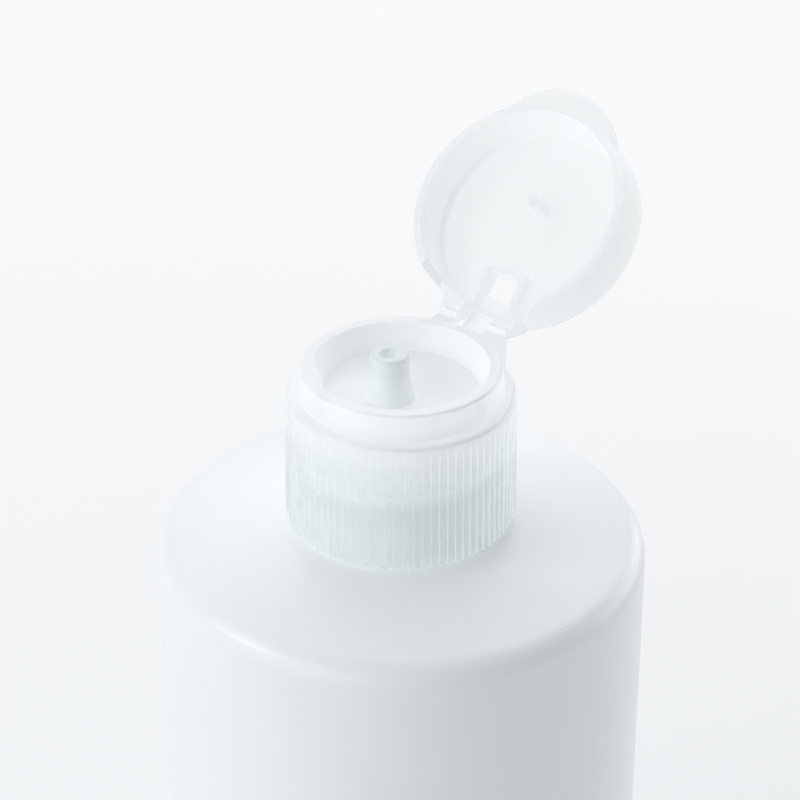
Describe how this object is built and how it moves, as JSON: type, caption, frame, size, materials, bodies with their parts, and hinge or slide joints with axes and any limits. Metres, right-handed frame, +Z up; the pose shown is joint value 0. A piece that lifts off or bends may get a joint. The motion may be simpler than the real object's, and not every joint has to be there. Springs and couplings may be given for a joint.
{
  "type": "mouthwash bottle",
  "caption": "Round white squeeze bottle with a domed shoulder and a milky ribbed screw cap with nozzle and open hinged flip lid, for dispensing a liquid.",
  "frame": {"origin": "centre of the base, on the surface that the bottle stands on", "axes": "+Z up along the bottle's axis, +Y towards the lid's hinge, -Y towards the thumb tab of the shut lid"},
  "size_m": [0.0608, 0.0686, 0.1739],
  "materials": {
    "bottle_white": "smooth opaque white, semi-gloss",
    "cap_milky": "natural translucent, soft gloss",
    "lid_milky": "natural translucent, soft gloss",
    "seal_foam": "soft pale foam"
  },
  "bodies": {
    "bottle": {"bottle": "bottle_white"},
    "sealing_ring": {"sealing_ring": "seal_foam"},
    "cap": {"cap_base": "cap_milky"},
    "hinge_tongue": {"hinge_tongue": "cap_milky"},
    "lid": {"lid": "lid_milky"}
  },
  "joints": [
    {"name": "cap_lift", "type": "slide", "parent": "bottle", "child": "sealing_ring", "axis": [0, 0, 1], "range_m": [0, 0.00477]},
    {"name": "cap_turn", "type": "hinge", "parent": "sealing_ring", "child": "cap", "pos_m": [0, 0, 0.1427], "axis": [0, 0, 1], "range_deg": [0, 540]},
    {"name": "lid_flip", "type": "hinge", "parent": "cap", "child": "lid", "pos_m": [0, 0.0148, 0.1504], "axis": [1, 0, 0], "range_deg": [0, 136]},
    {"name": "tongue_bend", "type": "hinge", "parent": "cap", "child": "hinge_tongue", "pos_m": [0, 0.01311, 0.1479], "axis": [1, 0, 0], "range_deg": [0, 68]}
  ],
  "couplings": [
    {"joint": "cap_lift", "follows": "cap_turn", "m_per_rad": 0.000506},
    {"joint": "tongue_bend", "follows": "lid_flip", "ratio": 0.5}
  ]
}
